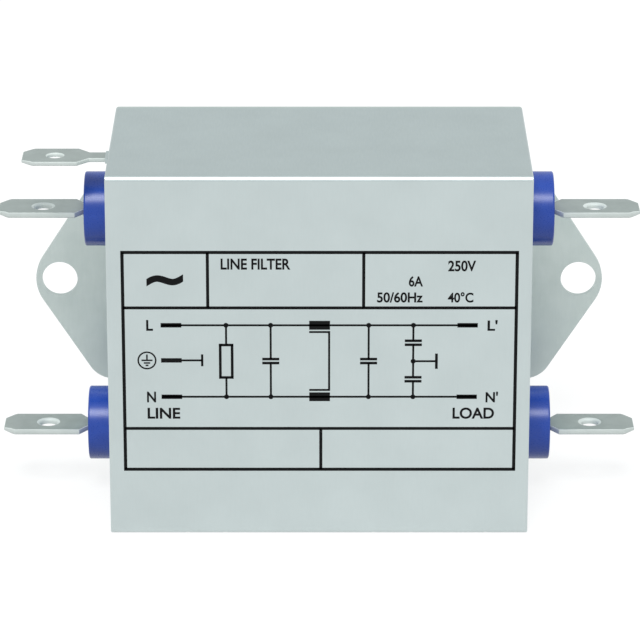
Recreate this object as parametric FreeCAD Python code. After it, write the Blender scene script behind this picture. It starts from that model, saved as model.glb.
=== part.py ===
import FreeCAD, Part
import math
import os

# A chassis line filter: a folded sheet cover on a base plate with two fixing ears.
# Two round bushings on each side carry flat terminals, and an earth tab leaves the side under the top wall.
# Frame: +X to the right of the printed face, +Y from the printed face to the base plate, +Z up.
# The origin is the middle of the footprint, on the surface that the filter stands on. Millimetres.

V = FreeCAD.Vector

# Case
case_width = 58.0
case_height = 52.2
case_depth = 33.0
sheet = 0.6
plate_thickness = 0.8
front_bend_radius = 0.8
side_bend_radius = 0.4
side_seam_radius = 0.45

# Base plate ears
fixing_centres = 75.0
fixing_height = 26.5
fixing_hole = 5.1
ear_root_half_height = 15.4
ear_apex_past_hole = 4.55
ear_shoulder_past_wall = 3.1
ear_tip_radius = 5.9
ear_shoulder_radius = 4.0

# Nicks along the lower front bend, by distance from the middle
nick_places = (-18.3, -13.1, 7.6, 12.8, 23.2)
nick_width = 0.55
nick_depth = 0.18

# Bushings
bushing_spread = 32.0
bushing_setback = 17.1
bushing_diameter = 10.4
bushing_stand_out = 3.65
bushing_rim_chamfer = 0.2
spigot_diameter = 8.0
spigot_length = 3.0
collar_height = 0.2
collar_margin = 0.35
hole_clearance = 0.05
slot_clearance = 0.04

# Flat terminals
tab_width = 6.3
tab_thickness = 0.8
tab_edge_chamfer = 0.15
tab_length = 10.75
tab_hole = 3.3
tab_hole_from_tip = 6.2
hole_rim_chamfer = 0.2
tab_corner_length = 1.6
tab_corner_cut = 1.25
tab_tip_bevel = 1.2
tab_tip_thickness = 0.4
tab_shoulder_length = 1.15
neck_width = 3.0
tail_width = 4.2
tail_length = 3.6
lower_blade_drop = 0.3

# Earth tab
earth_thickness = 0.6
earth_setback = 11.6
earth_length = 7.65
earth_shoulder_length = 1.6
earth_neck_length = 2.6
earth_neck_width = 2.8
earth_hole = 2.8
earth_hole_from_tip = 4.5
earth_foot_width = 8.0
earth_foot_length = 8.0
earth_lip = 0.4
earth_lip_wall = 0.12

# Wiring board and liner
board_thickness = 1.6
board_to_plate = 2.1
board_edge_gap = 2.0
liner_thickness = 0.3
lead_stub = 1.2
pin_clearance = 0.05

# Choke
core_inner_radius = 8.0
core_outer_radius = 12.4
core_height = 11.0
core_case_wall = 0.9
core_gap = 0.1
wire_diameter = 1.1
turns = 11
winding_span = 130.0
wire_gap = 0.05

# Capacitors and resistor
x_cap_width = 18.0
x_cap_height = 12.0
x_cap_thickness = 7.0
x_cap_edge_radius = 0.6
x_cap_lead_spacing = 15.0
x_cap_from_choke = 2.0
y_cap_diameter = 9.0
y_cap_thickness = 4.0
y_cap_from_middle = 10.0
y_cap_from_choke = 2.8
y_cap_lead_spacing = 5.0
resistor_diameter = 3.2
resistor_length = 9.0
resistor_from_middle = 14.0
resistor_lead_reach = 1.5
lead_diameter = 0.8
link_diameter = 1.6
earth_wire_diameter = 1.2

# Places worked out from the sizes above
face_y = -case_depth / 2.0
back_y = case_depth / 2.0
plate_y = back_y - plate_thickness
wall_x = case_width / 2.0
inner_x = wall_x - sheet
inner_top = case_height - sheet
inner_face_y = face_y + sheet
middle_z = case_height / 2.0
bushing_y = face_y + bushing_setback
board_back_y = plate_y - board_to_plate
board_front_y = board_back_y - board_thickness
stub_y = board_back_y + lead_stub
bushing_heights = {"l": middle_z + bushing_spread / 2.0, "n": middle_z - bushing_spread / 2.0}
blade_heights = {"l": bushing_heights["l"], "n": bushing_heights["n"] - lower_blade_drop}
blank_reach = tab_width
sides = {"line": -1, "load": 1}


def save(shape, name):
    shape.exportStep("parts/" + name + ".step")


def block(low, high):
    return Part.makeBox(high[0] - low[0], high[1] - low[1], high[2] - low[2], V(*low))


def rod(diameter, start, end):
    path = V(*end) - V(*start)
    return Part.makeCylinder(diameter / 2.0, path.Length, V(*start), path)


def prism(points, direction):
    corners = [V(*p) for p in points]
    return Part.Face(Part.makePolygon(corners + corners[:1])).extrude(V(*direction))


def fillet_where(shape, radius, wanted):
    edges = [e for e in shape.Edges if wanted(e)]
    return shape.makeFillet(radius, edges)


def runs_along(edge, axis):
    direction = edge.Vertexes[-1].Point - edge.Vertexes[0].Point
    along = {"x": direction.x, "y": direction.y, "z": direction.z}[axis]
    return abs(abs(along) - direction.Length) < 1e-6 and direction.Length > 1e-6


def to_side(shape, side):
    """A piece drawn for the right side, or its mirror image for the left side."""
    return shape if side > 0 else shape.mirror(V(0, 0, 0), V(1, 0, 0))


def raised(shape, height):
    shape = shape.copy()
    shape.translate(V(0, 0, height))
    return shape


def wire_section(diameter, start, run):
    """The eight-sided section of a wire, square to its run."""
    along = V(run).normalize()
    level = V(1, 0, 0) if abs(along.x) < 0.5 else V(0, 0, 1)
    first = level.cross(along).normalize()
    second = along.cross(first)
    corners = []
    for k in range(8):
        angle = math.radians(45.0 * k + 22.5)
        corners.append(start + (first * math.cos(angle) + second * math.sin(angle)) * (diameter / 2.0))
    return Part.makePolygon(corners + corners[:1])


def straight_wire(diameter, start, end):
    run = V(*end) - V(*start)
    return Part.Face(wire_section(diameter, V(*start), run)).extrude(run)


def folded_box(low, high, front_radius, upright_radius, seam_radius):
    """A box whose rounded front edges and seams meet in mitres, as folded sheet does."""
    def at_front(edge):
        return abs(edge.BoundBox.YMax - low[1]) < 1e-6

    rounds = (
        (front_radius, lambda e: runs_along(e, "x") and at_front(e)),
        (upright_radius, lambda e: runs_along(e, "z") and at_front(e)),
        (seam_radius, lambda e: runs_along(e, "y")),
    )
    box = block(low, high)
    for radius, wanted in rounds:
        if radius > 0:
            box = box.common(fillet_where(block(low, high), radius, wanted))
    return box


def make_cover():
    low = (-wall_x, face_y, 0)
    high = (wall_x, plate_y, case_height)
    cover = folded_box(low, high, front_bend_radius, side_bend_radius, side_seam_radius)
    cover = cover.cut(make_inside(plate_y + sheet))
    hole = spigot_diameter + 2 * hole_clearance
    past_wall = wall_x + sheet
    for height in bushing_heights.values():
        cover = cover.cut(rod(hole, (-past_wall, bushing_y, height), (past_wall, bushing_y, height)))
    cover = cover.fuse(make_earth_lip())
    cover = cover.cut(make_earth_slot())
    for place in nick_places:
        low = (place - nick_width / 2.0, face_y - sheet, -sheet)
        high = (place + nick_width / 2.0, face_y + front_bend_radius, nick_depth)
        cover = cover.cut(block(low, high))
    return cover.removeSplitter()


def make_inside(end_y):
    """The space inside the cover, from its printed wall back to a depth."""
    low = (-inner_x, inner_face_y, sheet)
    return folded_box(low, (inner_x, end_y, inner_top), front_bend_radius - sheet, 0, 0)


def make_earth_slot():
    """The slot that the neck of the earth tab leaves by, open as far up as the top wall."""
    half = earth_neck_width / 2.0 + slot_clearance
    middle_y = face_y + earth_setback
    low = (-wall_x - 2 * earth_lip, middle_y - half, inner_top - earth_thickness - slot_clearance)
    return block(low, (-inner_x + sheet, middle_y + half, inner_top))


def make_earth_lip():
    """The edge of the slot, pushed outwards where it was pierced."""
    half = earth_neck_width / 2.0 + slot_clearance + earth_lip_wall
    middle_y = face_y + earth_setback
    low_z = inner_top - earth_thickness - slot_clearance - earth_lip_wall
    high_z = inner_top + earth_lip_wall
    low = (-wall_x - earth_lip, middle_y - half, low_z)
    return block(low, (-inner_x - sheet / 2.0, middle_y + half, high_z))


def make_base_plate():
    plate = block((-wall_x, plate_y, 0), (wall_x, back_y, case_height))
    plate = fillet_where(plate, side_seam_radius, lambda e: runs_along(e, "y"))
    shoulder = wall_x + ear_shoulder_past_wall
    apex = fixing_centres / 2.0 + ear_apex_past_hole
    top = fixing_height + ear_root_half_height
    bottom = fixing_height - ear_root_half_height
    root = wall_x - ear_root_half_height / 2.0
    upper = ((root, top), (shoulder, top), (apex, fixing_height))
    outline = upper + ((shoulder, bottom), (root, bottom))
    ear = prism([(x, plate_y, z) for x, z in outline], (0, plate_thickness, 0))
    ear = fillet_where(ear, ear_tip_radius, lambda e: runs_along(e, "y") and e.BoundBox.XMin > apex - 1e-6)
    ear = fillet_where(ear, ear_shoulder_radius, lambda e: runs_along(e, "y") and is_at_x(e, shoulder))
    hole_x = fixing_centres / 2.0
    drill_start = (hole_x, plate_y - plate_thickness, fixing_height)
    ear = ear.cut(rod(fixing_hole, drill_start, (hole_x, back_y + plate_thickness, fixing_height)))
    for side in sides.values():
        plate = plate.fuse(to_side(ear, side))
    return plate.removeSplitter()


def is_at_x(edge, x):
    return abs(edge.BoundBox.XMin - x) < 1e-6 and abs(edge.BoundBox.XMax - x) < 1e-6


def make_bushing(drop):
    """The right-hand bushing at height zero, its slot lower than its axis by the drop."""
    flange = rod(bushing_diameter, (wall_x, bushing_y, 0), (wall_x + bushing_stand_out, bushing_y, 0))
    rim_x = wall_x + bushing_stand_out
    flange = flange.makeChamfer(bushing_rim_chamfer, [e for e in flange.Edges if is_at_x(e, rim_x)])
    spigot = rod(spigot_diameter, (wall_x - sheet - spigot_length, bushing_y, 0), (wall_x, bushing_y, 0))
    half_width = neck_width / 2.0 + collar_margin
    half_height = tab_thickness / 2.0 + collar_margin
    low = (rim_x, bushing_y - half_width, -half_height)
    collar = block(low, (rim_x + collar_height, bushing_y + half_width, half_height))
    slot_half = neck_width / 2.0 + slot_clearance
    slot_low = (wall_x - 2 * spigot_length, bushing_y - slot_half, -tab_thickness / 2.0 - slot_clearance)
    slot = block(slot_low, (rim_x + 1, bushing_y + slot_half, tab_thickness / 2.0 + slot_clearance))
    bushing = flange.fuse([spigot, raised(collar, -drop)])
    return bushing.cut(raised(slot, -drop)).removeSplitter()


def flat_tab(outline, thickness, tip_x, middle_y):
    """A stamped tab about height zero: its outline, its coined tip and the broken edges of its blade."""
    blank = prism([(x, middle_y + y, -thickness / 2.0) for x, y in outline], (0, 0, thickness))
    half_tip = tab_tip_thickness / 2.0
    half = thickness / 2.0
    root = min(x for x, y in outline) - 1
    side_view = ((root, -half), (tip_x - tab_tip_bevel, -half), (tip_x, -half_tip))
    side_view = side_view + tuple((x, -z) for x, z in reversed(side_view))
    coined = prism([(x, middle_y - blank_reach, z) for x, z in side_view], (0, 2 * blank_reach, 0))
    return blank.common(coined)


def blade_section(thickness, x_low, x_high, middle_y):
    """The blade's section with its four long edges broken, drawn out along X."""
    half_width = tab_width / 2.0
    half = thickness / 2.0
    cut = tab_edge_chamfer
    lower = ((half_width - cut, -half), (half_width, -half + cut))
    right = lower + tuple((y, -z) for y, z in reversed(lower))
    points = right + tuple((-y, z) for y, z in reversed(right))
    return prism([(x_low, middle_y + y, z) for y, z in points], (x_high - x_low, 0, 0))


def blade_outline(tip_x, full_x, shoulder, neck_half):
    """Half of a tab's outline from its tip to its neck, as distances along and across."""
    half = tab_width / 2.0
    return [
        (tip_x, half - tab_corner_cut),
        (tip_x - tab_corner_length, half),
        (full_x, half),
        (full_x - shoulder, neck_half),
    ]


def mirrored(half_outline):
    return half_outline + [(x, -y) for x, y in reversed(half_outline)]


def break_edges(tab, thickness, full_x, tip_x, middle_y):
    blade = blade_section(thickness, full_x, tip_x + 1, middle_y)
    rest_low = (full_x - case_width, middle_y - blank_reach, -thickness)
    rest = block(rest_low, (full_x, middle_y + blank_reach, thickness))
    return tab.common(blade.fuse(rest))


def pierce(tab, diameter, x, middle_y, thickness):
    """Drills the hole of a blade and breaks both of its rims."""
    tab = tab.cut(rod(diameter, (x, middle_y, -thickness), (x, middle_y, thickness)))
    radius = diameter / 2.0
    for way in (-1, 1):
        start = V(x, middle_y, way * (thickness / 2.0 - hole_rim_chamfer))
        depth = 2 * hole_rim_chamfer
        tab = tab.cut(Part.makeCone(radius, radius + depth, depth, start, V(0, 0, way)))
    return tab


def make_terminal():
    """The right-hand terminal at height zero, with the tail that a link is soldered to."""
    neck_x = wall_x + bushing_stand_out + collar_height
    full_x = neck_x + tab_shoulder_length
    tip_x = full_x + tab_length
    tail_x = wall_x - sheet - spigot_length
    half = blade_outline(tip_x, full_x, tab_shoulder_length, neck_width / 2.0)
    half += [(tail_x, neck_width / 2.0), (tail_x, tail_width / 2.0)]
    half += [(tail_x - tail_length, tail_width / 2.0)]
    tab = flat_tab(mirrored(half), tab_thickness, tip_x, bushing_y)
    tab = break_edges(tab, tab_thickness, full_x, tip_x, bushing_y)
    return pierce(tab, tab_hole, tip_x - tab_hole_from_tip, bushing_y, tab_thickness)


def make_earth_tab():
    """The earth tab on the left, its foot welded flat under the top wall."""
    middle_y = face_y + earth_setback
    full_x = wall_x + earth_neck_length + earth_shoulder_length
    tip_x = full_x + earth_length
    neck_half = earth_neck_width / 2.0
    half = blade_outline(tip_x, full_x, earth_shoulder_length, neck_half)
    foot_x = inner_x - slot_clearance
    half += [(foot_x, neck_half), (foot_x, earth_foot_width / 2.0)]
    half += [(foot_x - earth_foot_length, earth_foot_width / 2.0)]
    tab = flat_tab(mirrored(half), earth_thickness, tip_x, middle_y)
    tab = break_edges(tab, earth_thickness, full_x, tip_x, middle_y)
    tab = pierce(tab, earth_hole, tip_x - earth_hole_from_tip, middle_y, earth_thickness)
    return raised(to_side(tab, -1), inner_top - earth_thickness / 2.0)


# Choke, from the sizes of its core
case_inner_radius = core_inner_radius - core_gap - core_case_wall
case_outer_radius = core_outer_radius + core_gap + core_case_wall
case_half_height = core_height / 2.0 + core_gap + core_case_wall
wire_reach = wire_diameter / 2.0 + wire_gap
choke_half_height = case_half_height + wire_gap + wire_diameter
choke_radius = case_outer_radius + wire_gap + wire_diameter
choke_y = board_front_y - choke_half_height
choke_base = V(0, choke_y, middle_z)


def ring(inner, outer, half_height):
    base = choke_base - V(0, half_height, 0)
    tube = Part.makeCylinder(outer, 2 * half_height, base, V(0, 1, 0))
    return tube.cut(Part.makeCylinder(inner, 2 * half_height, base, V(0, 1, 0)))


def make_core():
    return ring(core_inner_radius, core_outer_radius, core_height / 2.0)


def make_core_case():
    hollow = ring(core_inner_radius - core_gap, core_outer_radius + core_gap, core_height / 2.0 + core_gap)
    return ring(case_inner_radius, case_outer_radius, case_half_height).cut(hollow)


def winding_path(side):
    """The middle line of one winding: out of the board, round the ring turn by turn, and back."""
    bore = case_inner_radius - wire_reach
    rim = case_outer_radius + wire_reach
    near = choke_y - case_half_height - wire_reach
    far = choke_y + case_half_height + wire_reach
    step = winding_span / turns
    points = []
    for turn in range(turns):
        angle = side * (90.0 + winding_span / 2.0 - turn * step)
        start = stub_y if turn == 0 else far
        points += [on_ring(rim, start, angle), on_ring(rim, near, angle)]
        points += [on_ring(bore, near, angle), on_ring(bore, far, angle)]
    last = side * (90.0 - winding_span / 2.0)
    return points + [on_ring(rim, far, last), on_ring(rim, stub_y, last)]


def on_ring(radius, y, degrees):
    angle = math.radians(degrees)
    return V(radius * math.cos(angle), y, middle_z + radius * math.sin(angle))


def make_winding(side):
    points = winding_path(side)
    section = wire_section(wire_diameter, points[0], points[1] - points[0])
    return Part.makePolygon(points).makePipeShell([section], True, False, 1)


def make_x_capacitor(side):
    near_x = choke_radius + x_cap_from_choke
    low = (near_x, board_front_y - x_cap_height, middle_z - x_cap_width / 2.0)
    high = (near_x + x_cap_thickness, board_front_y, middle_z + x_cap_width / 2.0)
    body = block(low, high)
    body = fillet_where(body, x_cap_edge_radius, lambda e: e.BoundBox.YMax < board_front_y - 1e-6)
    pin_x = near_x + x_cap_thickness / 2.0
    heights = [middle_z + half * x_cap_lead_spacing / 2.0 for half in (-1, 1)]
    start_y = board_front_y - lead_stub
    pins = [straight_wire(lead_diameter, (pin_x, start_y, z), (pin_x, stub_y, z)) for z in heights]
    return to_side(body.fuse(pins), side), [(side * pin_x, z) for z in heights]


def y_cap_height(half):
    return middle_z + half * (choke_radius + y_cap_from_choke + y_cap_thickness / 2.0)


def make_y_capacitor(half):
    """A disc capacitor on edge, above or below the choke."""
    z = y_cap_height(half)
    radius = y_cap_diameter / 2.0
    y = board_front_y - radius
    disc = Part.makeCylinder(radius, y_cap_thickness, V(y_cap_from_middle, y, z - y_cap_thickness / 2.0))
    places = [(y_cap_from_middle + s * y_cap_lead_spacing / 2.0, z) for s in (-1, 1)]
    pins = [straight_wire(lead_diameter, (x, y, z), (x, stub_y, z)) for x, z in places]
    return disc.fuse(pins), places


def make_resistor():
    z = y_cap_height(1)
    y = board_front_y - resistor_diameter / 2.0
    ends = [-resistor_from_middle + s * resistor_length / 2.0 for s in (-1, 1)]
    body = rod(resistor_diameter, (ends[0], y, z), (ends[1], y, z))
    places = [(ends[0] - resistor_lead_reach, z), (ends[1] + resistor_lead_reach, z)]
    inner = [ends[0] + resistor_lead_reach, ends[1] - resistor_lead_reach]
    leads = []
    for (x, z), start in zip(places, inner):
        leads.append(straight_wire(lead_diameter, (start, y, z), (x, y, z)))
        leads.append(straight_wire(lead_diameter, (x, y - lead_diameter / 2.0, z), (x, stub_y, z)))
    return body.fuse(leads), places


def link_place(side):
    tail_end = wall_x - sheet - spigot_length - tail_length
    return side * (tail_end + link_diameter)


def make_link(side, height):
    """The conductor from a terminal's tail back to the board."""
    x = link_place(side)
    start_y = bushing_y + tail_width / 2.0
    return straight_wire(link_diameter, (x, start_y, height), (x, stub_y, height))


# Earth wire, one flat of it along the underside of the earth tab's foot
earth_wire_x = -(inner_x - earth_foot_length / 2.0)
flat_reach = earth_wire_diameter / 2.0 * math.cos(math.radians(22.5))
earth_wire_z = inner_top - earth_thickness - flat_reach


def make_earth_wire():
    start = (earth_wire_x, face_y + earth_setback - earth_foot_width / 2.0, earth_wire_z)
    return straight_wire(earth_wire_diameter, start, (earth_wire_x, stub_y, earth_wire_z))


def make_board(pin_places, link_places, winding_places):
    half = inner_x - board_edge_gap
    top = earth_wire_z
    board = block((-half, board_front_y, inner_top - top + sheet), (half, board_back_y, top))
    holes = [(x, z, lead_diameter) for x, z in pin_places]
    holes += [(x, z, link_diameter) for x, z in link_places]
    holes += [(x, z, wire_diameter) for x, z in winding_places]
    holes.append((earth_wire_x, earth_wire_z, earth_wire_diameter))
    for x, z, diameter in holes:
        bore = diameter + 2 * pin_clearance
        board = board.cut(straight_wire(bore, (x, board_front_y - 1, z), (x, board_back_y + 1, z)))
    return board


def make_liner():
    low = (-inner_x + hole_clearance, plate_y - liner_thickness, sheet + hole_clearance)
    return block(low, (inner_x - hole_clearance, plate_y, inner_top - hole_clearance))


def around(shape):
    """The plain block that a piece fits in."""
    box = shape.BoundBox
    return block((box.XMin, box.YMin, box.ZMin), (box.XMax, box.YMax, box.ZMax))


def make_potting(made):
    """The compound that fills the case as far back as the board's solder side.

    It stands clear of the fine shape of each piece. The choke keeps its own round space in it.
    """
    well_start = choke_base - V(0, choke_half_height, 0)
    spaces = [Part.makeCylinder(choke_radius + 2 * wire_gap, 2 * choke_half_height, well_start, V(0, 1, 0))]
    spigot_end = inner_x - spigot_length
    spigot = rod(spigot_diameter, (spigot_end, bushing_y, 0), (inner_x, bushing_y, 0))
    tail_low = (spigot_end - tail_length, bushing_y - tail_width / 2.0, -tab_thickness / 2.0)
    tail = block(tail_low, (spigot_end, bushing_y + tail_width / 2.0, tab_thickness / 2.0))
    for side in sides.values():
        spaces += [raised(to_side(spigot, side), height) for height in bushing_heights.values()]
        spaces += [raised(to_side(tail, side), height) for height in blade_heights.values()]
    parted = ("x_capacitor", "y_capacitor", "wiring_board", "earth_tab", "earth_wire", "discharge_resistor")
    spaces += [around(shape) for name, shape in made.items() if name.startswith(parted)]
    spaces += [shape for name, shape in made.items() if name.startswith("link")]
    return make_inside(board_back_y).cut(spaces)


def main():
    os.makedirs("parts", exist_ok=True)
    made = {"cover": make_cover(), "base_plate": make_base_plate(), "earth_tab": make_earth_tab()}
    terminal = make_terminal()
    pins = []
    links = []
    for side_name, side in sides.items():
        for pole, height in bushing_heights.items():
            place = "_%s_%s" % (side_name, pole)
            blade_height = blade_heights[pole]
            made["bushing" + place] = raised(to_side(make_bushing(height - blade_height), side), height)
            made["terminal" + place] = raised(to_side(terminal, side), blade_height)
            made["link" + place] = make_link(side, blade_height)
            links.append((link_place(side), blade_height))
        made["x_capacitor_" + side_name], places = make_x_capacitor(side)
        pins += places
    made["discharge_resistor"], places = make_resistor()
    pins += places
    ends = []
    for pole, half in (("l", 1), ("n", -1)):
        made["y_capacitor_" + pole], places = make_y_capacitor(half)
        pins += places
        made["winding_" + pole] = make_winding(half)
        path = winding_path(half)
        ends += [(end.x, end.z) for end in (path[0], path[-1])]
    made["choke_core"] = make_core()
    made["choke_core_case"] = make_core_case()
    made["earth_wire"] = make_earth_wire()
    made["liner"] = make_liner()
    made["wiring_board"] = make_board(pins, links, ends)
    made["potting"] = make_potting(made)
    for name, shape in made.items():
        save(shape, name)


main()
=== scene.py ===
import math

import bmesh
import bpy
from mathutils import Matrix, Vector


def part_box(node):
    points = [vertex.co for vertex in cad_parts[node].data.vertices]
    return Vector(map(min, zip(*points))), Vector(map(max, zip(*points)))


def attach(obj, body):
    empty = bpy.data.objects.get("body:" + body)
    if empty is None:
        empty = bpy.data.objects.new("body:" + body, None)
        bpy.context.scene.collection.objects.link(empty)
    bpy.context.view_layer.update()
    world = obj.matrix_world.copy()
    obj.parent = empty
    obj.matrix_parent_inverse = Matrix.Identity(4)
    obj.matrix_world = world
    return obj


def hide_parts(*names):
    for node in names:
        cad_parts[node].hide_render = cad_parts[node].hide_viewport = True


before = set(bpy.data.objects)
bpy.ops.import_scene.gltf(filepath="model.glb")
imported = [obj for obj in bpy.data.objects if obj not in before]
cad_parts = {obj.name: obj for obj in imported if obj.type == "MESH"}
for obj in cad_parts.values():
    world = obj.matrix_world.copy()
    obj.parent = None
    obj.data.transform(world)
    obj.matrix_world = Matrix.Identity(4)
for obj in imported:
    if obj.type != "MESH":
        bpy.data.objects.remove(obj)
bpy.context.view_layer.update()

MM = 0.001
QUARTER_TURN = math.radians(90)
FULL_TURN = math.radians(360)
# Places nearer to each other than this, in millimetres, count as one
SAME_PLACE = 0.0001

# The case in millimetres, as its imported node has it. The left wall is as far out as the right
# one, but has a lip round the earth tab's slot, so the right one gives the place of both
cover_low, cover_high = (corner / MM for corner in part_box("cover"))
FACE_Y = cover_low.y
FACE_MIDDLE = cover_high.z / 2
WALL_X = cover_high.x

# The four openings in the walls, each with a bushing, a terminal and the link behind it
OPENINGS = ("line_l", "line_n", "load_l", "load_n")


# Materials

def linear(code):
    """An sRGB hex value as the linear colour that a shader takes."""
    parts = [int(code[i:i + 2], 16) / 255 for i in (0, 2, 4)]
    return [c / 12.92 if c <= 0.04045 else ((c + 0.055) / 1.055) ** 2.4 for c in parts] + [1.0]


def grey(value):
    """The same value in all three colours, as for a roughness or a plain white."""
    return (value, value, value, 1.0)


def per_mm(size):
    """The scale that gives a pattern features of this size in millimetres."""
    return 1.0 / (size * MM)


def add(tree, kind, settings=None, values=None, links=None, stops=None):
    """Adds a node with its settings, socket values, links and, for a ramp, its two stops.

    A link names the socket it comes from, or a node whose first output is meant.
    """
    node = tree.nodes.new(kind)
    for name, value in (settings or {}).items():
        setattr(node, name, value)
    for socket, value in (values or {}).items():
        node.inputs[socket].default_value = value
    for socket, source in (links or {}).items():
        tree.links.new(getattr(source, "outputs", [source])[0], node.inputs[socket])
    for element, (place, colour) in zip(node.color_ramp.elements if stops else (), stops or ()):
        element.position, element.color = place, colour
    return node


def blank_material(name):
    """An empty material, its node tree and its Object coordinates."""
    material = bpy.data.materials.new(name)
    material.use_nodes = True
    tree = material.node_tree
    tree.nodes.clear()
    return material, tree, add(tree, "ShaderNodeTexCoord").outputs["Object"]


# Finishes of the outside

def tinned_steel(name, shade, light, cloud_size, rough_low, rough_high):
    """Cold-rolled steel with a matt electrolytic tin coat.

    Pale and slightly cool, softly cloudy, with reflections too wide to show an outline.
    """
    material, tree, point = blank_material(name)
    clouds = add(tree, "ShaderNodeTexNoise",
                 values={"Scale": per_mm(cloud_size), "Detail": 3.0}, links={"Vector": point})
    colour = add(tree, "ShaderNodeValToRGB",
                 links={"Fac": clouds}, stops=[(0.3, linear(shade)), (0.7, linear(light))])
    # Rolling leaves streaks 0.02 mm wide; finer than 0.25 mm doesn't show, so they are
    # drawn that wide and 2 mm long
    along = add(tree, "ShaderNodeMapping",
                values={"Scale": (1.0, 0.12, 0.12)}, links={"Vector": point})
    rolled = add(tree, "ShaderNodeTexNoise",
                 values={"Scale": per_mm(0.25), "Detail": 2.0}, links={"Vector": along})
    rough = add(tree, "ShaderNodeValToRGB",
                links={"Fac": rolled}, stops=[(0.25, grey(rough_low)), (0.75, grey(rough_high))])
    # The crystals of the tin coat are about 0.05 mm, drawn at 0.12 mm so that they show
    grain = add(tree, "ShaderNodeTexNoise",
                values={"Scale": per_mm(0.12), "Detail": 2.0}, links={"Vector": point})
    relief = add(tree, "ShaderNodeBump",
                 values={"Strength": 0.3, "Distance": 0.004 * MM}, links={"Height": grain})
    shader = add(tree, "ShaderNodeBsdfPrincipled", values={"Metallic": 1.0},
                 links={"Base Color": colour, "Roughness": rough, "Normal": relief})
    add(tree, "ShaderNodeOutputMaterial", links={"Surface": shader})
    return material


def tin_plated_brass(name, shade, light, metal, rough_low, rough_high):
    """Brass strip, stamped and tin plated.

    Satin and a little darker than the case, with the fine marks of drawing along the blade;
    its sheared edges are torn and duller, so they get little of a metal's reflection. The
    paler colour that they are given is painted light, standing in for the light that the
    blade's sides catch from the lamp and the floor.
    """
    material, tree, point = blank_material(name)
    clouds = add(tree, "ShaderNodeTexNoise",
                 values={"Scale": per_mm(2.5), "Detail": 2.0}, links={"Vector": point})
    colour = add(tree, "ShaderNodeValToRGB",
                 links={"Fac": clouds}, stops=[(0.3, linear(shade)), (0.7, linear(light))])
    # Drawing marks are 0.02 mm apart, drawn 0.08 mm apart and twenty times as long
    along = add(tree, "ShaderNodeMapping",
                values={"Scale": (0.05, 1.0, 1.0)}, links={"Vector": point})
    drawn = add(tree, "ShaderNodeTexNoise",
                values={"Scale": per_mm(0.08), "Detail": 2.0}, links={"Vector": along})
    rough = add(tree, "ShaderNodeValToRGB",
                links={"Fac": drawn}, stops=[(0.2, grey(rough_low)), (0.8, grey(rough_high))])
    relief = add(tree, "ShaderNodeBump",
                 values={"Strength": 0.3, "Distance": 0.003 * MM}, links={"Height": drawn})
    shader = add(tree, "ShaderNodeBsdfPrincipled", values={"Metallic": metal},
                 links={"Base Color": colour, "Roughness": rough, "Normal": relief})
    add(tree, "ShaderNodeOutputMaterial", links={"Surface": shader})
    return material


def moulded_polyester_blue():
    """Glass-filled polyester, injection moulded.

    Deep blue and semi-gloss: a soft pale band where it turns to the light, and a faint
    spark-eroded texture from its mould.
    """
    material, tree, point = blank_material("moulded_polyester_blue")
    clouds = add(tree, "ShaderNodeTexNoise",
                 values={"Scale": per_mm(1.8), "Detail": 2.0}, links={"Vector": point})
    colour = add(tree, "ShaderNodeValToRGB",
                 links={"Fac": clouds}, stops=[(0.3, linear("1b43a5")), (0.7, linear("2049ad"))])
    texture = add(tree, "ShaderNodeTexNoise",
                  values={"Scale": per_mm(0.15), "Detail": 2.0}, links={"Vector": point})
    rough = add(tree, "ShaderNodeValToRGB",
                links={"Fac": texture}, stops=[(0.3, grey(0.26)), (0.7, grey(0.32))])
    relief = add(tree, "ShaderNodeBump",
                 values={"Strength": 0.3, "Distance": 0.005 * MM}, links={"Height": texture})
    shader = add(tree, "ShaderNodeBsdfPrincipled", values={"IOR": 1.5},
                 links={"Base Color": colour, "Roughness": rough, "Normal": relief})
    add(tree, "ShaderNodeOutputMaterial", links={"Surface": shader})
    return material


def pad_print_ink():
    """Two-part pad-printing ink, cured: dense black and matt, a little thinner in small spots."""
    material, tree, point = blank_material("pad_print_ink_black")
    spots = add(tree, "ShaderNodeTexNoise",
                values={"Scale": per_mm(0.2), "Detail": 2.0}, links={"Vector": point})
    colour = add(tree, "ShaderNodeValToRGB",
                 links={"Fac": spots}, stops=[(0.3, linear("08090a")), (0.75, linear("101112"))])
    rough = add(tree, "ShaderNodeValToRGB",
                links={"Fac": spots}, stops=[(0.3, grey(0.6)), (0.7, grey(0.7))])
    shader = add(tree, "ShaderNodeBsdfPrincipled",
                 values={"IOR": 1.5, "Specular IOR Level": 0.15},
                 links={"Base Color": colour, "Roughness": rough})
    add(tree, "ShaderNodeOutputMaterial", links={"Surface": shader})
    return material


# Finishes of the inside

def tinned_copper_wire():
    """Copper wire, drawn and dipped in tin: pinkish metal with streaks of pale solder."""
    material, tree, point = blank_material("tinned_copper_wire_drawn")
    streaks = add(tree, "ShaderNodeTexNoise",
                  values={"Scale": per_mm(0.9), "Detail": 3.0}, links={"Vector": point})
    colour = add(tree, "ShaderNodeValToRGB",
                 links={"Fac": streaks}, stops=[(0.4, linear("c98d68")), (0.62, linear("c9c5bb"))])
    rough = add(tree, "ShaderNodeValToRGB",
                links={"Fac": streaks}, stops=[(0.3, grey(0.25)), (0.7, grey(0.38))])
    shader = add(tree, "ShaderNodeBsdfPrincipled", values={"Metallic": 1.0},
                 links={"Base Color": colour, "Roughness": rough})
    add(tree, "ShaderNodeOutputMaterial", links={"Surface": shader})
    return material


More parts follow.
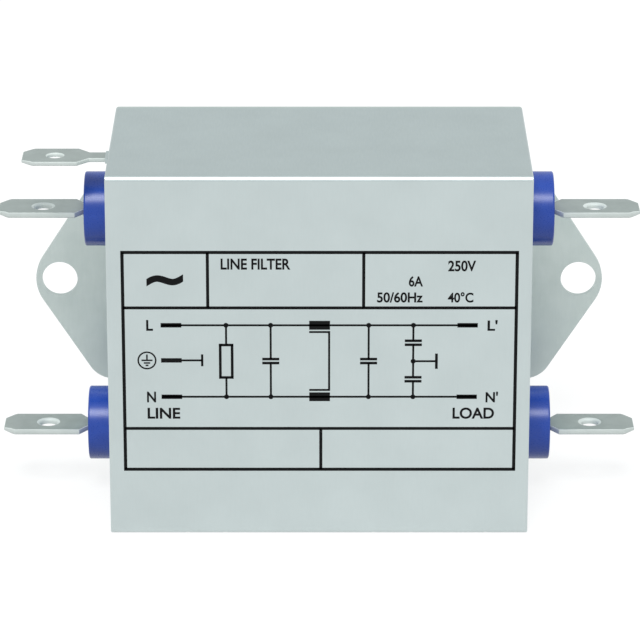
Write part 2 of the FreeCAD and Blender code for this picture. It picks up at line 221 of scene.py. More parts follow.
def enamelled_copper_wire():
    """Copper wire in polyesterimide enamel: a warm brown-red metal under a clear glossy coat."""
    material, tree, point = blank_material("enamelled_copper_wire")
    clouds = add(tree, "ShaderNodeTexNoise",
                 values={"Scale": per_mm(1.5), "Detail": 2.0}, links={"Vector": point})
    colour = add(tree, "ShaderNodeValToRGB",
                 links={"Fac": clouds}, stops=[(0.3, linear("a8501f")), (0.7, linear("bb6228"))])
    relief = add(tree, "ShaderNodeBump",
                 values={"Strength": 0.3, "Distance": 0.01 * MM}, links={"Height": clouds})
    shader = add(tree, "ShaderNodeBsdfPrincipled",
                 values={"Metallic": 1.0, "Roughness": 0.3,
                         "Coat Weight": 0.8, "Coat Roughness": 0.08},
                 links={"Base Color": colour, "Normal": relief})
    add(tree, "ShaderNodeOutputMaterial", links={"Surface": shader})
    return material


def sintered_ferrite():
    """Manganese-zinc ferrite, pressed and sintered: near black, matt, with a fine open grain."""
    material, tree, point = blank_material("ferrite_sintered")
    grain = add(tree, "ShaderNodeTexNoise",
                values={"Scale": per_mm(0.25), "Detail": 4.0, "Roughness": 0.65},
                links={"Vector": point})
    colour = add(tree, "ShaderNodeValToRGB",
                 links={"Fac": grain}, stops=[(0.35, linear("1d1e20")), (0.7, linear("313336"))])
    rough = add(tree, "ShaderNodeValToRGB",
                links={"Fac": grain}, stops=[(0.3, grey(0.5)), (0.7, grey(0.72))])
    relief = add(tree, "ShaderNodeBump",
                 values={"Strength": 0.5, "Distance": 0.02 * MM}, links={"Height": grain})
    shader = add(tree, "ShaderNodeBsdfPrincipled", values={"IOR": 1.9},
                 links={"Base Color": colour, "Roughness": rough, "Normal": relief})
    add(tree, "ShaderNodeOutputMaterial", links={"Surface": shader})
    return material


def moulded_plastic(name, shade, light, texture_size, rough_low, rough_high):
    """A moulded or dipped skin: even colour, a satin sheen and the fine texture of its surface."""
    material, tree, point = blank_material(name)
    texture = add(tree, "ShaderNodeTexNoise",
                  values={"Scale": per_mm(texture_size), "Detail": 2.0}, links={"Vector": point})
    colour = add(tree, "ShaderNodeValToRGB",
                 links={"Fac": texture}, stops=[(0.3, linear(shade)), (0.7, linear(light))])
    rough = add(tree, "ShaderNodeValToRGB",
                links={"Fac": texture}, stops=[(0.3, grey(rough_low)), (0.7, grey(rough_high))])
    relief = add(tree, "ShaderNodeBump",
                 values={"Strength": 0.4, "Distance": 0.01 * MM}, links={"Height": texture})
    shader = add(tree, "ShaderNodeBsdfPrincipled", values={"IOR": 1.5},
                 links={"Base Color": colour, "Roughness": rough, "Normal": relief})
    add(tree, "ShaderNodeOutputMaterial", links={"Surface": shader})
    return material


def pressed_paper_laminate():
    """Phenolic paper board, hot pressed: tan and satin, with short paper fibres across it."""
    material, tree, point = blank_material("phenolic_paper_laminate")
    along = add(tree, "ShaderNodeMapping",
                values={"Scale": (0.15, 1.0, 1.0)}, links={"Vector": point})
    fibres = add(tree, "ShaderNodeTexNoise",
                 values={"Scale": per_mm(0.3), "Detail": 4.0, "Roughness": 0.6},
                 links={"Vector": along})
    colour = add(tree, "ShaderNodeValToRGB",
                 links={"Fac": fibres}, stops=[(0.35, linear("a98f4d")), (0.7, linear("c2aa68"))])
    rough = add(tree, "ShaderNodeValToRGB",
                links={"Fac": fibres}, stops=[(0.3, grey(0.35)), (0.7, grey(0.5))])
    shader = add(tree, "ShaderNodeBsdfPrincipled", values={"IOR": 1.52},
                 links={"Base Color": colour, "Roughness": rough})
    add(tree, "ShaderNodeOutputMaterial", links={"Surface": shader})
    return material


def electrical_pressboard():
    """Cellulose pressboard, calendered: off-white and matt, with fibres half a millimetre wide."""
    material, tree, point = blank_material("electrical_pressboard")
    along = add(tree, "ShaderNodeMapping",
                values={"Scale": (1.0, 1.0, 0.3)}, links={"Vector": point})
    fibres = add(tree, "ShaderNodeTexNoise",
                 values={"Scale": per_mm(0.5), "Detail": 5.0, "Roughness": 0.65},
                 links={"Vector": along})
    colour = add(tree, "ShaderNodeValToRGB",
                 links={"Fac": fibres}, stops=[(0.35, linear("cfc9b4")), (0.7, linear("ded9c7"))])
    relief = add(tree, "ShaderNodeBump",
                 values={"Strength": 0.5, "Distance": 0.01 * MM}, links={"Height": fibres})
    shader = add(tree, "ShaderNodeBsdfPrincipled", values={"Roughness": 0.85, "IOR": 1.45},
                 links={"Base Color": colour, "Normal": relief})
    add(tree, "ShaderNodeOutputMaterial", links={"Surface": shader})
    return material


def cast_epoxy_compound():
    """Filled epoxy, poured and cured: dark grey and smooth, with pale specks of mineral filler."""
    material, tree, point = blank_material("filled_epoxy_cast")
    filler = add(tree, "ShaderNodeTexNoise",
                 values={"Scale": per_mm(0.4), "Detail": 5.0, "Roughness": 0.7},
                 links={"Vector": point})
    colour = add(tree, "ShaderNodeValToRGB",
                 links={"Fac": filler}, stops=[(0.45, linear("2b2d2f")), (0.8, linear("4a4c4d"))])
    pools = add(tree, "ShaderNodeTexNoise",
                values={"Scale": per_mm(4.0), "Detail": 2.0}, links={"Vector": point})
    rough = add(tree, "ShaderNodeValToRGB",
                links={"Fac": pools}, stops=[(0.3, grey(0.3)), (0.7, grey(0.5))])
    shader = add(tree, "ShaderNodeBsdfPrincipled", values={"IOR": 1.55},
                 links={"Base Color": colour, "Roughness": rough})
    add(tree, "ShaderNodeOutputMaterial", links={"Surface": shader})
    return material


sheet_finish = tinned_steel(
    "tinned_steel_sheet_matt", "c4cece", "c8d2d2", cloud_size=6.0, rough_low=0.36, rough_high=0.46)
plate_finish = tinned_steel(
    "tinned_steel_plate_matt", "cad4d1", "d1dad7", cloud_size=3.5, rough_low=0.5, rough_high=0.58)
tab_finish = tin_plated_brass(
    "tin_plated_brass_rolled", "b3bbb8", "bcc4c1", metal=1.0, rough_low=0.48, rough_high=0.56)
# The sheared edges are duller and rougher by their own finish; their paler colour is painted light
# on the blades' sides
sheared_finish_painted_light = tin_plated_brass(
    "tin_plated_brass_sheared_painted_light", "d6dedb", "dee5e2", metal=0.15, rough_low=0.55, rough_high=0.65)
bushing_finish = moulded_polyester_blue()
ink = pad_print_ink()
wire_finish = tinned_copper_wire()
winding_finish = enamelled_copper_wire()
core_case_finish = moulded_plastic(
    "moulded_polyamide_black", "1e2023", "26282b", texture_size=0.2, rough_low=0.4, rough_high=0.5)
box_capacitor_finish = moulded_plastic(
    "moulded_polyester_yellow", "d0b036", "d9ba3f",
    texture_size=0.25, rough_low=0.35, rough_high=0.45)
disc_capacitor_finish = moulded_plastic(
    "dipped_epoxy_blue", "3d6ea3", "4577ab", texture_size=0.6, rough_low=0.25, rough_high=0.35)
resistor_finish = moulded_plastic(
    "lacquered_ceramic_grey_green", "96a28f", "9fab98",
    texture_size=0.4, rough_low=0.3, rough_high=0.4)

node_finishes = {
    "cover": sheet_finish,
    "base_plate": plate_finish,
    "earth_tab": tab_finish,
    "wiring_board": pressed_paper_laminate(),
    "liner": electrical_pressboard(),
    "choke_core": sintered_ferrite(),
    "choke_core_case": core_case_finish,
    "winding_l": winding_finish,
    "winding_n": winding_finish,
    "x_capacitor_line": box_capacitor_finish,
    "x_capacitor_load": box_capacitor_finish,
    "y_capacitor_l": disc_capacitor_finish,
    "y_capacitor_n": disc_capacitor_finish,
    "discharge_resistor": resistor_finish,
    "earth_wire": wire_finish,
    "potting": cast_epoxy_compound(),
}
for opening in OPENINGS:
    node_finishes[f"terminal_{opening}"] = tab_finish
    node_finishes[f"bushing_{opening}"] = bushing_finish
    node_finishes[f"link_{opening}"] = wire_finish

for node_name, finish in node_finishes.items():
    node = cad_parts[node_name]
    if not node.material_slots:
        node.data.materials.append(finish)
    for material_slot in node.material_slots:
        material_slot.material = finish


# Pieces, each made as a bmesh in millimetres

def piece(bm, name, finish):
    """Makes a piece of a bmesh in millimetres, and lets it ride with the part."""
    bmesh.ops.recalc_face_normals(bm, faces=bm.faces)
    bmesh.ops.scale(bm, vec=(MM, MM, MM), verts=bm.verts)
    mesh = bpy.data.meshes.new(name)
    bm.to_mesh(mesh)
    bm.free()
    mesh.materials.append(finish)
    made = bpy.data.objects.new(name, mesh)
    bpy.context.scene.collection.objects.link(made)
    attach(made, "root")
    return made


def everything(bm):
    """All that a bmesh holds, as an operator takes it."""
    return bm.verts[:] + bm.edges[:] + bm.faces[:]


def only(kind, geometry):
    """The vertices, edges or faces among what an operator gives back."""
    return [g for g in geometry if isinstance(g, kind)]


def edges_of(vertices):
    """The edges that meet at these vertices, each once and always in the same order."""
    return list(dict.fromkeys(e for v in vertices for e in v.link_edges))


def edges_at(bm, x):
    """The edges that lie at one place along X."""
    return [e for e in bm.edges if all(abs(v.co.x - x) < SAME_PLACE for v in e.verts)]


def add_block(bm, low, high):
    """Adds a block between two corners."""
    low, high = Vector(low), Vector(high)
    made = bmesh.ops.create_cube(bm, size=1.0)["verts"]
    bmesh.ops.scale(bm, vec=high - low, verts=made)
    bmesh.ops.translate(bm, vec=(low + high) / 2, verts=made)


def add_disc(bm, radius, thickness, middle, turned_about, segments):
    """Adds a disc, stood up by a quarter turn about an axis."""
    bmesh.ops.create_cone(
        bm,
        cap_ends=True,
        segments=segments,
        radius1=radius,
        radius2=radius,
        depth=thickness,
        matrix=Matrix.Translation(middle) @ Matrix.Rotation(QUARTER_TURN, 4, turned_about),
    )


def round_edges(bm, edges, radius, segments):
    """Rounds edges with this radius."""
    bmesh.ops.bevel(
        bm,
        geom=edges,
        offset=radius,
        offset_type="OFFSET",
        segments=segments,
        profile=0.5,
        affect="EDGES",
        clamp_overlap=True,
        material=-1,
    )


def put_in_its_wall(bm, middle):
    """Takes a shape made for the right wall, level with the origin, to its own wall and height."""
    bmesh.ops.scale(bm, vec=(math.copysign(1, middle.x), 1, 1), verts=bm.verts)
    bmesh.ops.translate(bm, vec=(0, middle.y, middle.z), verts=bm.verts)


# Where two faces meet at more than this, the edge between them stays sharp
SHARP_ANGLE = math.radians(40)


# Bushings: a flange on the wall, a spigot through it and a collar round the blade's neck

BUSHING_SEGMENTS = 96
SPIGOT_RADIUS = 4.0
RIM_RADIUS, RIM_SEGMENTS = 0.25, 5
SEAT_RADIUS, SEAT_SEGMENTS = 0.12, 2
SPIGOT_END_RADIUS, SPIGOT_END_SEGMENTS = 0.25, 3
COLLAR_HEIGHT = 0.2
COLLAR_HALF_WIDTH, COLLAR_HALF_HEIGHT = 1.85, 0.75
COLLAR_LIP_RADIUS, COLLAR_LIP_SEGMENTS = 0.08, 2


def add_bushing_disc(bm, radius, x_low, x_high):
    """Adds a disc about the bushing's own axis."""
    middle = ((x_low + x_high) / 2, 0, 0)
    add_disc(bm, radius, x_high - x_low, middle, "Y", BUSHING_SEGMENTS)


def bushing(node_name, terminal_name):
    """A moulded bushing in the place of its node, its collar where the terminal comes out."""
    low, high = (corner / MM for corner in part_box(node_name))
    blade_low, blade_high = (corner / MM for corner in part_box(terminal_name))
    middle = (low + high) / 2
    far = max(abs(low.x), abs(high.x))
    near = min(abs(low.x), abs(high.x))
    flange_face = far - COLLAR_HEIGHT
    collar_root = flange_face - COLLAR_HEIGHT
    collar_middle = (blade_low.z + blade_high.z) / 2 - middle.z
    bm = bmesh.new()
    add_bushing_disc(bm, (high.y - low.y) / 2, WALL_X, flange_face)
    round_edges(bm, edges_at(bm, flange_face), RIM_RADIUS, RIM_SEGMENTS)
    round_edges(bm, edges_at(bm, WALL_X), SEAT_RADIUS, SEAT_SEGMENTS)
    add_bushing_disc(bm, SPIGOT_RADIUS, near, WALL_X)
    round_edges(bm, edges_at(bm, near), SPIGOT_END_RADIUS, SPIGOT_END_SEGMENTS)
    add_block(
        bm,
        (collar_root, -COLLAR_HALF_WIDTH, collar_middle - COLLAR_HALF_HEIGHT),
        (far, COLLAR_HALF_WIDTH, collar_middle + COLLAR_HALF_HEIGHT),
    )
    round_edges(bm, edges_at(bm, far), COLLAR_LIP_RADIUS, COLLAR_LIP_SEGMENTS)
    put_in_its_wall(bm, middle)
    for face in bm.faces:
        face.smooth = True
    made = piece(bm, f"moulded_{node_name}", bushing_finish)
    made.data.set_sharp_from_angle(angle=SHARP_ANGLE)
    made.modifiers.new("even_shading", "WEIGHTED_NORMAL").keep_sharp = True
    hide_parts(node_name)


# Blades: stamped, with a hole whose upper rim is drawn in by the punch, and a tail in the case

BLADE_HALF = 3.15
# What the tip loses at each corner, along the blade and across it
CORNER_LENGTH, CORNER_CUT = 1.6, 1.25
# Length of the bevels above and below the tip, and half the thickness they leave
TIP_BEVEL, TIP_HALF = 1.2, 0.2
EDGE_RADIUS, EDGE_SEGMENTS = 0.12, 3
DRAWN_RIM_STEPS = 6
HOLE_SEGMENTS = 64
# Faces whose normal points up or down by at least this much are rolled, the others sheared;
# the sheared ones take the paler finish, which is painted light on the blades' sides
ROLLED_SHARE = 0.95


def blade_outline(bm, tip, neck, tail, shoulder_length, neck_half, z):
    """Draws the edge of a blade with its neck, and returns its edges."""
    bmesh.ops.create_grid(bm, x_segments=1, y_segments=1, size=0.5)
    bmesh.ops.scale(bm, vec=(tip - neck, 2 * BLADE_HALF, 1), verts=bm.verts)
    bmesh.ops.translate(bm, vec=((tip + neck) / 2, 0, z), verts=bm.verts)
    # The corners of the tip and the slants of the shoulder are cut off, first on one side
    for turn in (1, -1):
        corner = (tip, turn * (BLADE_HALF - CORNER_CUT), 0)
        slant = (neck, turn * neck_half, 0)
        for place, outward in (
            (corner, (CORNER_CUT, turn * CORNER_LENGTH, 0)),
            (slant, (neck_half - BLADE_HALF, turn * shoulder_length, 0)),
        ):
            bmesh.ops.bisect_plane(
                bm, geom=everything(bm), plane_co=place, plane_no=outward, clear_outer=True)
    drawn = bmesh.ops.extrude_edge_only(bm, edges=edges_at(bm, neck))["geom"]
    bmesh.ops.translate(bm, vec=(tail - neck, 0, 0), verts=only(bmesh.types.BMVert, drawn))
    bmesh.ops.dissolve_faces(bm, faces=bm.faces[:])
    bmesh.ops.delete(bm, geom=bm.faces[:], context="FACES_ONLY")
    return bm.edges[:]


def hole_rings(radius, rim_reach, rim_depth, top):
    """Radius and height of each ring of a hole, from its rounded upper rim to its lower edge."""
    rings = []
    for step in range(DRAWN_RIM_STEPS + 1):
        angle = QUARTER_TURN * step / DRAWN_RIM_STEPS
        reach = rim_reach * (1 - math.sin(angle))
        depth = rim_depth * (1 - math.cos(angle))
        rings.append((radius + reach, top - depth))
    return rings + [(radius, -top)]


def blade(node_name, length, shoulder_length, neck_half, tail, hole, rim):
    """A stamped blade in the place of its node.

    The tail is given by its length and half width, the hole by its distance from the tip and
    its radius, and the drawn-in rim by its reach and depth.
    """
    low, high = (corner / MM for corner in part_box(node_name))
    middle = (low + high) / 2
    tip = max(abs(low.x), abs(high.x))
    end = min(abs(low.x), abs(high.x))
    top = (high.z - low.z) / 2
    neck = tip - length - shoulder_length
    tail_length, tail_half = tail
    hole_from_tip, hole_radius = hole
    bm = bmesh.new()
    lower = blade_outline(bm, tip, neck, end + tail_length, shoulder_length, neck_half, -top)
    copied = bmesh.ops.duplicate(bm, geom=everything(bm))["geom"]
    upper = only(bmesh.types.BMEdge, copied)
    bmesh.ops.translate(bm, vec=(0, 0, 2 * top), verts=only(bmesh.types.BMVert, copied))
    loops = []
    for radius, z in hole_rings(hole_radius, *rim, top):
        place = Matrix.Translation((tip - hole_from_tip, 0, z))
        circle = bmesh.ops.create_circle(bm, segments=HOLE_SEGMENTS, radius=radius, matrix=place)
        loops.append(edges_of(circle["verts"]))
    for above, below in zip(loops, loops[1:]):
        bmesh.ops.bridge_loops(bm, edges=above + below)
    bmesh.ops.bridge_loops(bm, edges=upper + lower)
    bmesh.ops.triangle_fill(bm, use_beauty=True, edges=upper + loops[0])
    bmesh.ops.triangle_fill(bm, use_beauty=True, edges=lower + loops[-1])
    bmesh.ops.recalc_face_normals(bm, faces=bm.faces)
    round_edges(bm, upper + lower, EDGE_RADIUS, EDGE_SEGMENTS)
    # The tip is bevelled above and below
    taper = tip - TIP_BEVEL
    bmesh.ops.bisect_plane(bm, geom=everything(bm), plane_co=(taper, 0, 0), plane_no=(1, 0, 0))
    for vertex in bm.verts:
        if vertex.co.x > taper:
            vertex.co.z *= 1 - (1 - TIP_HALF / top) * (vertex.co.x - taper) / TIP_BEVEL
    add_block(bm, (end, -tail_half, -top), (end + tail_length, tail_half, top))
    put_in_its_wall(bm, middle)
    bm.normal_update()
    for face in bm.faces:
        face.smooth = True
        # Sideways faces take the paler sheared finish, painted light on the blades' sides
        face.material_index = int(abs(face.normal.z) < ROLLED_SHARE)
    made = piece(bm, f"stamped_{node_name}", tab_finish)
    made.data.materials.append(sheared_finish_painted_light)
    made.data.set_sharp_from_angle(angle=SHARP_ANGLE)
    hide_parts(node_name)


for opening in OPENINGS:
    bushing(f"bushing_{opening}", f"terminal_{opening}")
    blade(
        f"terminal_{opening}",
        length=10.75,
        shoulder_length=1.15,
        neck_half=1.5,
        tail=(3.6, 2.1),
        hole=(6.2, 1.2),
        rim=(0.9, 0.4),
    )
blade(
    "earth_tab",
    length=7.65,
    shoulder_length=1.6,
    neck_half=1.4,
    tail=(8.0, 4.0),
    hole=(4.5, 1.1),
    rim=(0.4, 0.3),
)


# Print on the face: places along the face and heights from its middle, in millimetres

INK_FRONT = FACE_Y - 0.012
INK_BACK = FACE_Y + 0.02
INK_MIDDLE = (INK_FRONT + INK_BACK) / 2
INK_DEPTH = INK_BACK - INK_FRONT
DOT_RADIUS, DOT_SEGMENTS = 0.35, 24
RING_STEPS = 48
# In the typeface's own unit: how much fatter the print is than the plain letters, a thickness
# that the ink's replaces, and how near to each other two points are merged
LETTER_WEIGHT, SIGN_WEIGHT = 0.026, 0.03
LETTER_THICKNESS = 0.01
LETTER_WELD = 1e-6


def line_across(bm, x0, x1, z, width):
    """A printed line along the face."""
    low = (x0, INK_FRONT, FACE_MIDDLE + z - width / 2)
    high = (x1, INK_BACK, FACE_MIDDLE + z + width / 2)
    add_block(bm, low, high)


def line_up(bm, x, z0, z1, width):
    """A printed line up the face."""
    low = (x - width / 2, INK_FRONT, FACE_MIDDLE + z0)
    high = (x + width / 2, INK_BACK, FACE_MIDDLE + z1)
    add_block(bm, low, high)


def printed_outline(bm, x0, x1, z0, z1, width):
    """A rectangle of four lines."""
    for z in (z0, z1):
        line_across(bm, x0 - width / 2, x1 + width / 2, z, width)
    for x in (x0, x1):
        line_up(bm, x, z0, z1, width)


def printed_dot(bm, x, z):
    """The dot where two lines of the diagram join."""
    add_disc(bm, DOT_RADIUS, INK_DEPTH, (x, INK_MIDDLE, FACE_MIDDLE + z), "X", DOT_SEGMENTS)


def printed_ring(bm, x, z, radius, width):
    """A ring, spun from its section."""
    section = bmesh.ops.create_grid(bm, x_segments=1, y_segments=1, size=0.5)["verts"]
    bmesh.ops.delete(bm, geom=section[0].link_faces[:], context="FACES_ONLY")
    bmesh.ops.scale(bm, vec=(width, INK_DEPTH, 1), verts=section)
    place = Vector((x + radius, INK_MIDDLE, FACE_MIDDLE + z))
    bmesh.ops.translate(bm, vec=place, verts=section)
    bmesh.ops.spin(
        bm,
        geom=section + edges_of(section),
        cent=place - Vector((radius, 0, 0)),
        axis=(0, 1, 0),
        angle=FULL_TURN,
        steps=RING_STEPS,
        use_merge=True,
    )


def printed_words(name, body, x0, x1, baseline, height, weight=LETTER_WEIGHT):
    """Printed letters between two places along the face, standing on their baseline."""
    curve = bpy.data.curves.new(name, "FONT")
    curve.body = body
    curve.offset = weight
    curve.extrude = LETTER_THICKNESS
    letters = bpy.data.objects.new(name, curve)
    bpy.context.scene.collection.objects.link(letters)
    mesh = bpy.data.meshes.new_from_object(letters)
    bm = bmesh.new()
    bm.from_mesh(mesh)
    bpy.data.objects.remove(letters)
    bpy.data.curves.remove(curve)
    bpy.data.meshes.remove(mesh)
    bmesh.ops.remove_doubles(bm, verts=bm.verts, dist=LETTER_WELD)
    low = Vector(min(v.co[i] for v in bm.verts) for i in range(3))
    high = Vector(max(v.co[i] for v in bm.verts) for i in range(3))
    reach = Vector((x1 - x0, height, INK_DEPTH))
    bmesh.ops.translate(bm, vec=-low, verts=bm.verts)
    bmesh.ops.scale(bm, vec=[reach[i] / (high[i] - low[i]) for i in range(3)], verts=bm.verts)
    bmesh.ops.rotate(bm, matrix=Matrix.Rotation(QUARTER_TURN, 3, "X"), verts=bm.verts)
    bmesh.ops.translate(bm, vec=(x0, INK_BACK, FACE_MIDDLE + baseline), verts=bm.verts)
    piece(bm, name, ink)


# Frame: an outline, a header in three fields and a footer in two

FRAME_LINE, INNER_LINE = 0.46, 0.43
FRAME_LEFT, FRAME_RIGHT = -26.77, 26.93
FRAME_TOP, FRAME_BOTTOM = 15.27, -16.40
HEADER_LINE, FOOTER_LINE = 7.29, -10.34
HEADER_PLACES = (-15.18, 6.08)
FOOTER_PLACE = 0.24

rulings = bmesh.new()
printed_outline(rulings, FRAME_LEFT, FRAME_RIGHT, FRAME_BOTTOM, FRAME_TOP, FRAME_LINE)
for height in (HEADER_LINE, FOOTER_LINE):
    line_across(rulings, FRAME_LEFT, FRAME_RIGHT, height, INNER_LINE)
for place in HEADER_PLACES:
    line_up(rulings, place, HEADER_LINE, FRAME_TOP, INNER_LINE)
line_up(rulings, FOOTER_PLACE, FRAME_BOTTOM, FOOTER_LINE, INNER_LINE)
piece(rulings, "printed_frame", ink)


# Circuit diagram in standard symbols: stubs for the terminals, and between them the lines L and N

WIRE_LINE, SYMBOL_LINE, STUB_LINE = 0.285, 0.38, 0.64
LINE_L, LINE_N, LINE_EARTH = 4.77, -5.67, -0.46
STUB_LEFT, STUB_RIGHT = (-21.66, -18.82), (18.91, 21.70)
RESISTOR_X, X_LINE_X, X_LOAD_X, Y_X = -12.72, -6.62, 6.79, 12.90
RESISTOR_LEFT, RESISTOR_RIGHT = -13.54, -11.91
RESISTOR_BOTTOM, RESISTOR_TOP = -2.84, 1.90
CHOKE_LEFT, CHOKE_RIGHT, CHOKE_LINE = -1.35, 1.50, 1.29
CORE_RIGHT, CORE_TOP, CORE_BOTTOM = 1.38, 3.79, -4.67
X_HEIGHT, Y_L_HEIGHT, Y_N_HEIGHT = -0.44, 2.23, -3.10
PLATE_HALF, PLATE_GAP = 1.17, 0.58
EARTH_STUB_HEIGHT = -0.34
EARTH_BAR_X, EARTH_BAR_LOW, EARTH_BAR_HIGH, EARTH_BAR_LINE = -16.02, -1.20, 0.54, 0.32
CASE_BAR_X, CASE_BAR_LOW, CASE_BAR_HIGH = 16.09, -1.58, 0.66
EARTH_SIGN_X, EARTH_SIGN_LINE = -23.59, 0.22
EARTH_SIGN_MIDDLE, EARTH_SIGN_RADIUS = -0.35, 1.20
EARTH_SIGN_STEM_TOP = 0.52
EARTH_SIGN_BARS = ((1.52, -0.33), (0.88, -0.72), (0.38, -1.07))

diagram = bmesh.new()
for height in (LINE_L, LINE_N):
    line_across(diagram, STUB_LEFT[0], STUB_RIGHT[1], height, WIRE_LINE)
    for start, end in (STUB_LEFT, STUB_RIGHT):
        line_across(diagram, start, end, height, STUB_LINE)
    line_across(diagram, CHOKE_LEFT, CHOKE_RIGHT, height, CHOKE_LINE)
    for place in (RESISTOR_X, X_LINE_X, X_LOAD_X, Y_X):
        printed_dot(diagram, place, height)
for height in (CORE_TOP, CORE_BOTTOM):
    line_across(diagram, CHOKE_LEFT, CORE_RIGHT, height, WIRE_LINE)
line_up(diagram, CORE_RIGHT, CORE_BOTTOM - WIRE_LINE / 2, CORE_TOP + WIRE_LINE / 2, WIRE_LINE)
# Earth terminal, joined to the case
line_across(diagram, STUB_LEFT[0], STUB_LEFT[1], EARTH_STUB_HEIGHT, STUB_LINE)
line_across(diagram, STUB_LEFT[1], EARTH_BAR_X, EARTH_STUB_HEIGHT, WIRE_LINE)
line_up(diagram, EARTH_BAR_X, EARTH_BAR_LOW, EARTH_BAR_HIGH, EARTH_BAR_LINE)
# Discharge resistor
printed_outline(
    diagram, RESISTOR_LEFT, RESISTOR_RIGHT, RESISTOR_BOTTOM, RESISTOR_TOP, SYMBOL_LINE)
line_up(diagram, RESISTOR_X, RESISTOR_TOP, LINE_L, WIRE_LINE)
line_up(diagram, RESISTOR_X, LINE_N, RESISTOR_BOTTOM, WIRE_LINE)
# Capacitors across the lines, and the pair from the lines to the case
for place, height, top, bottom in (
    (X_LINE_X, X_HEIGHT, LINE_L, LINE_N),
    (X_LOAD_X, X_HEIGHT, LINE_L, LINE_N),
    (Y_X, Y_L_HEIGHT, LINE_L, LINE_EARTH),
    (Y_X, Y_N_HEIGHT, LINE_EARTH, LINE_N),
):
    for plate in (height - PLATE_GAP / 2, height + PLATE_GAP / 2):
        line_across(diagram, place - PLATE_HALF, place + PLATE_HALF, plate, SYMBOL_LINE)
    line_up(diagram, place, height + PLATE_GAP / 2, top, WIRE_LINE)
    line_up(diagram, place, bottom, height - PLATE_GAP / 2, WIRE_LINE)
printed_dot(diagram, Y_X, LINE_EARTH)
line_across(diagram, Y_X, CASE_BAR_X, LINE_EARTH, WIRE_LINE)
line_up(diagram, CASE_BAR_X, CASE_BAR_LOW, CASE_BAR_HIGH, SYMBOL_LINE)
# Protective earth sign: a ring, a stem down to the first of three bars, and the bars
printed_ring(diagram, EARTH_SIGN_X, EARTH_SIGN_MIDDLE, EARTH_SIGN_RADIUS, EARTH_SIGN_LINE)
line_up(diagram, EARTH_SIGN_X, EARTH_SIGN_BARS[0][1], EARTH_SIGN_STEM_TOP, EARTH_SIGN_LINE)
for width, height in EARTH_SIGN_BARS:
    half = width / 2
    line_across(diagram, EARTH_SIGN_X - half, EARTH_SIGN_X + half, height, EARTH_SIGN_LINE)
piece(diagram, "printed_circuit_diagram", ink)


# Words: which terminal is which, and plain electrical values; each has its two ends along the
# face, its baseline and the height of its letters

for name, body, x0, x1, baseline, height in (
    ("printed_l_line", "L", -23.63, -22.70, 3.97, 1.56),
    ("printed_n_line", "N", -23.66, -22.42, -6.50, 1.58),
    ("printed_line", "LINE", -23.62, -19.12, -8.90, 1.60),
    ("printed_l_load", "L'", 23.02, 24.40, 3.97, 1.56),
    ("printed_n_load", "N'", 22.90, 24.60, -6.50, 1.58),
    ("printed_load", "LOAD", 18.38, 24.10, -8.92, 1.66),
    ("printed_kind", "LINE FILTER", -13.38, -3.90, 12.81, 1.58),
    ("printed_voltage", "250V", 17.55, 21.35, 12.55, 1.56),
    ("printed_current", "6A", 12.22, 14.15, 10.36, 1.52),
    ("printed_frequency", "50/60Hz", 7.90, 14.15, 8.06, 1.50),
    ("printed_temperature", "40°C", 17.55, 21.05, 8.06, 1.50),
):
    printed_words(name, body, x0, x1, baseline, height)
printed_words("printed_alternating_sign", "~", -23.5, -18.5, 10.4, 1.75, weight=SIGN_WEIGHT)


# Floor, in metres

FLOOR_HALF = 6.0
FLOOR_DROP = 0.00002
FLOOR_GREY = 0.24
FLOOR_GREY_SPREAD = 0.02
FLOOR_GLOW = 0.79


def white_paper_sweep():
    """Matt white paper: grey enough not to flood the part from below, and white to the eye.

    What looks at it, directly or in a reflection, sees it white, and shadows stay on it.
    """
    material, tree, point = blank_material("white_paper_sweep")
    rays = add(tree, "ShaderNodeLightPath").outputs
    reflected = add(tree, "ShaderNodeMath", settings={"operation": "MAXIMUM"},
                    links={0: rays["Is Glossy Ray"], 1: rays["Is Transmission Ray"]})
    seen = add(tree, "ShaderNodeMath", settings={"operation": "MAXIMUM"},
               links={0: rays["Is Camera Ray"], 1: reflected})
    glow = add(tree, "ShaderNodeMath", settings={"operation": "MULTIPLY"},
               values={1: FLOOR_GLOW}, links={0: seen})
    fibres = add(tree, "ShaderNodeTexNoise",
                 values={"Scale": per_mm(40.0), "Detail": 2.0}, links={"Vector": point})
    colour = add(tree, "ShaderNodeValToRGB", links={"Fac": fibres},
                 stops=[(0.0, grey(FLOOR_GREY)), (1.0, grey(FLOOR_GREY + FLOOR_GREY_SPREAD))])
    shader = add(tree, "ShaderNodeBsdfPrincipled",
                 values={"Roughness": 0.9, "Specular IOR Level": 0.0, "Emission Color": grey(1.0)},
                 links={"Base Color": colour, "Emission Strength": glow})
    add(tree, "ShaderNodeOutputMaterial", links={"Surface": shader})
    return material


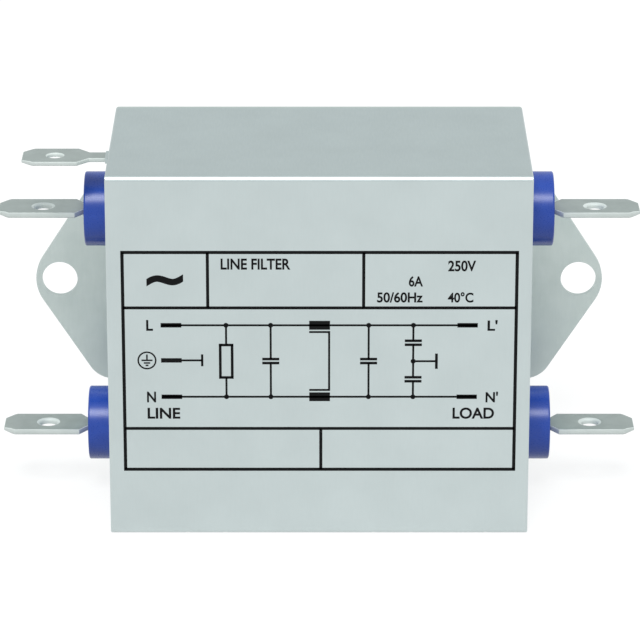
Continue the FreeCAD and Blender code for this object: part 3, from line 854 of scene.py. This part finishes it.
floor_shape = bmesh.new()
bmesh.ops.create_grid(floor_shape, x_segments=1, y_segments=1, size=FLOOR_HALF)
bmesh.ops.translate(floor_shape, vec=(0, 0, -FLOOR_DROP), verts=floor_shape.verts)
floor_mesh = bpy.data.meshes.new("floor")
floor_shape.to_mesh(floor_mesh)
floor_shape.free()
floor_mesh.materials.append(white_paper_sweep())
floor = bpy.data.objects.new("floor", floor_mesh)
bpy.context.scene.collection.objects.link(floor)


# Light: an even, faintly cool white room, and a large soft lamp in front, 50 degrees up

ROOM_COLOUR = (0.955, 1.0, 1.005, 1.0)
ROOM_STRENGTH = 0.79
LAMP_STRENGTH = 1.45
LAMP_WIDTH = math.radians(22)
LAMP_TOWARDS = Vector((0.06, 0.63, -0.777))

room = bpy.data.worlds.new("studio")
bpy.context.scene.world = room
room.use_nodes = True
room.node_tree.nodes.clear()
soft_light = add(room.node_tree, "ShaderNodeBackground",
                 values={"Color": ROOM_COLOUR, "Strength": ROOM_STRENGTH})
add(room.node_tree, "ShaderNodeOutputWorld", links={"Surface": soft_light})

key = bpy.data.lights.new("key_lamp", "SUN")
key.energy = LAMP_STRENGTH
key.angle = LAMP_WIDTH
key_lamp = bpy.data.objects.new("key_lamp", key)
key_lamp.rotation_mode = "QUATERNION"
key_lamp.rotation_quaternion = LAMP_TOWARDS.to_track_quat("-Z", "Y")
bpy.context.scene.collection.objects.link(key_lamp)


# Camera, fitted to the photograph: its place, sensor and lens in millimetres

CAMERA_PLACE = Vector((0.129, -524.28, 212.85))
CAMERA_TILT = math.radians(70.36)
SENSOR_WIDTH, LENS_LENGTH = 36.0, 222.04
# Nearest and farthest that it sees, in metres
CLIP_START, CLIP_END = 0.01, 20.0

camera_data = bpy.data.cameras.new("camera")
camera_data.sensor_width = SENSOR_WIDTH
camera_data.lens = LENS_LENGTH
camera_data.clip_start = CLIP_START
camera_data.clip_end = CLIP_END
camera = bpy.data.objects.new("camera", camera_data)
camera.location = CAMERA_PLACE * MM
camera.rotation_euler = (CAMERA_TILT, 0, 0)
bpy.context.scene.collection.objects.link(camera)
bpy.context.scene.camera = camera

bpy.context.scene.view_settings.view_transform = "Standard"
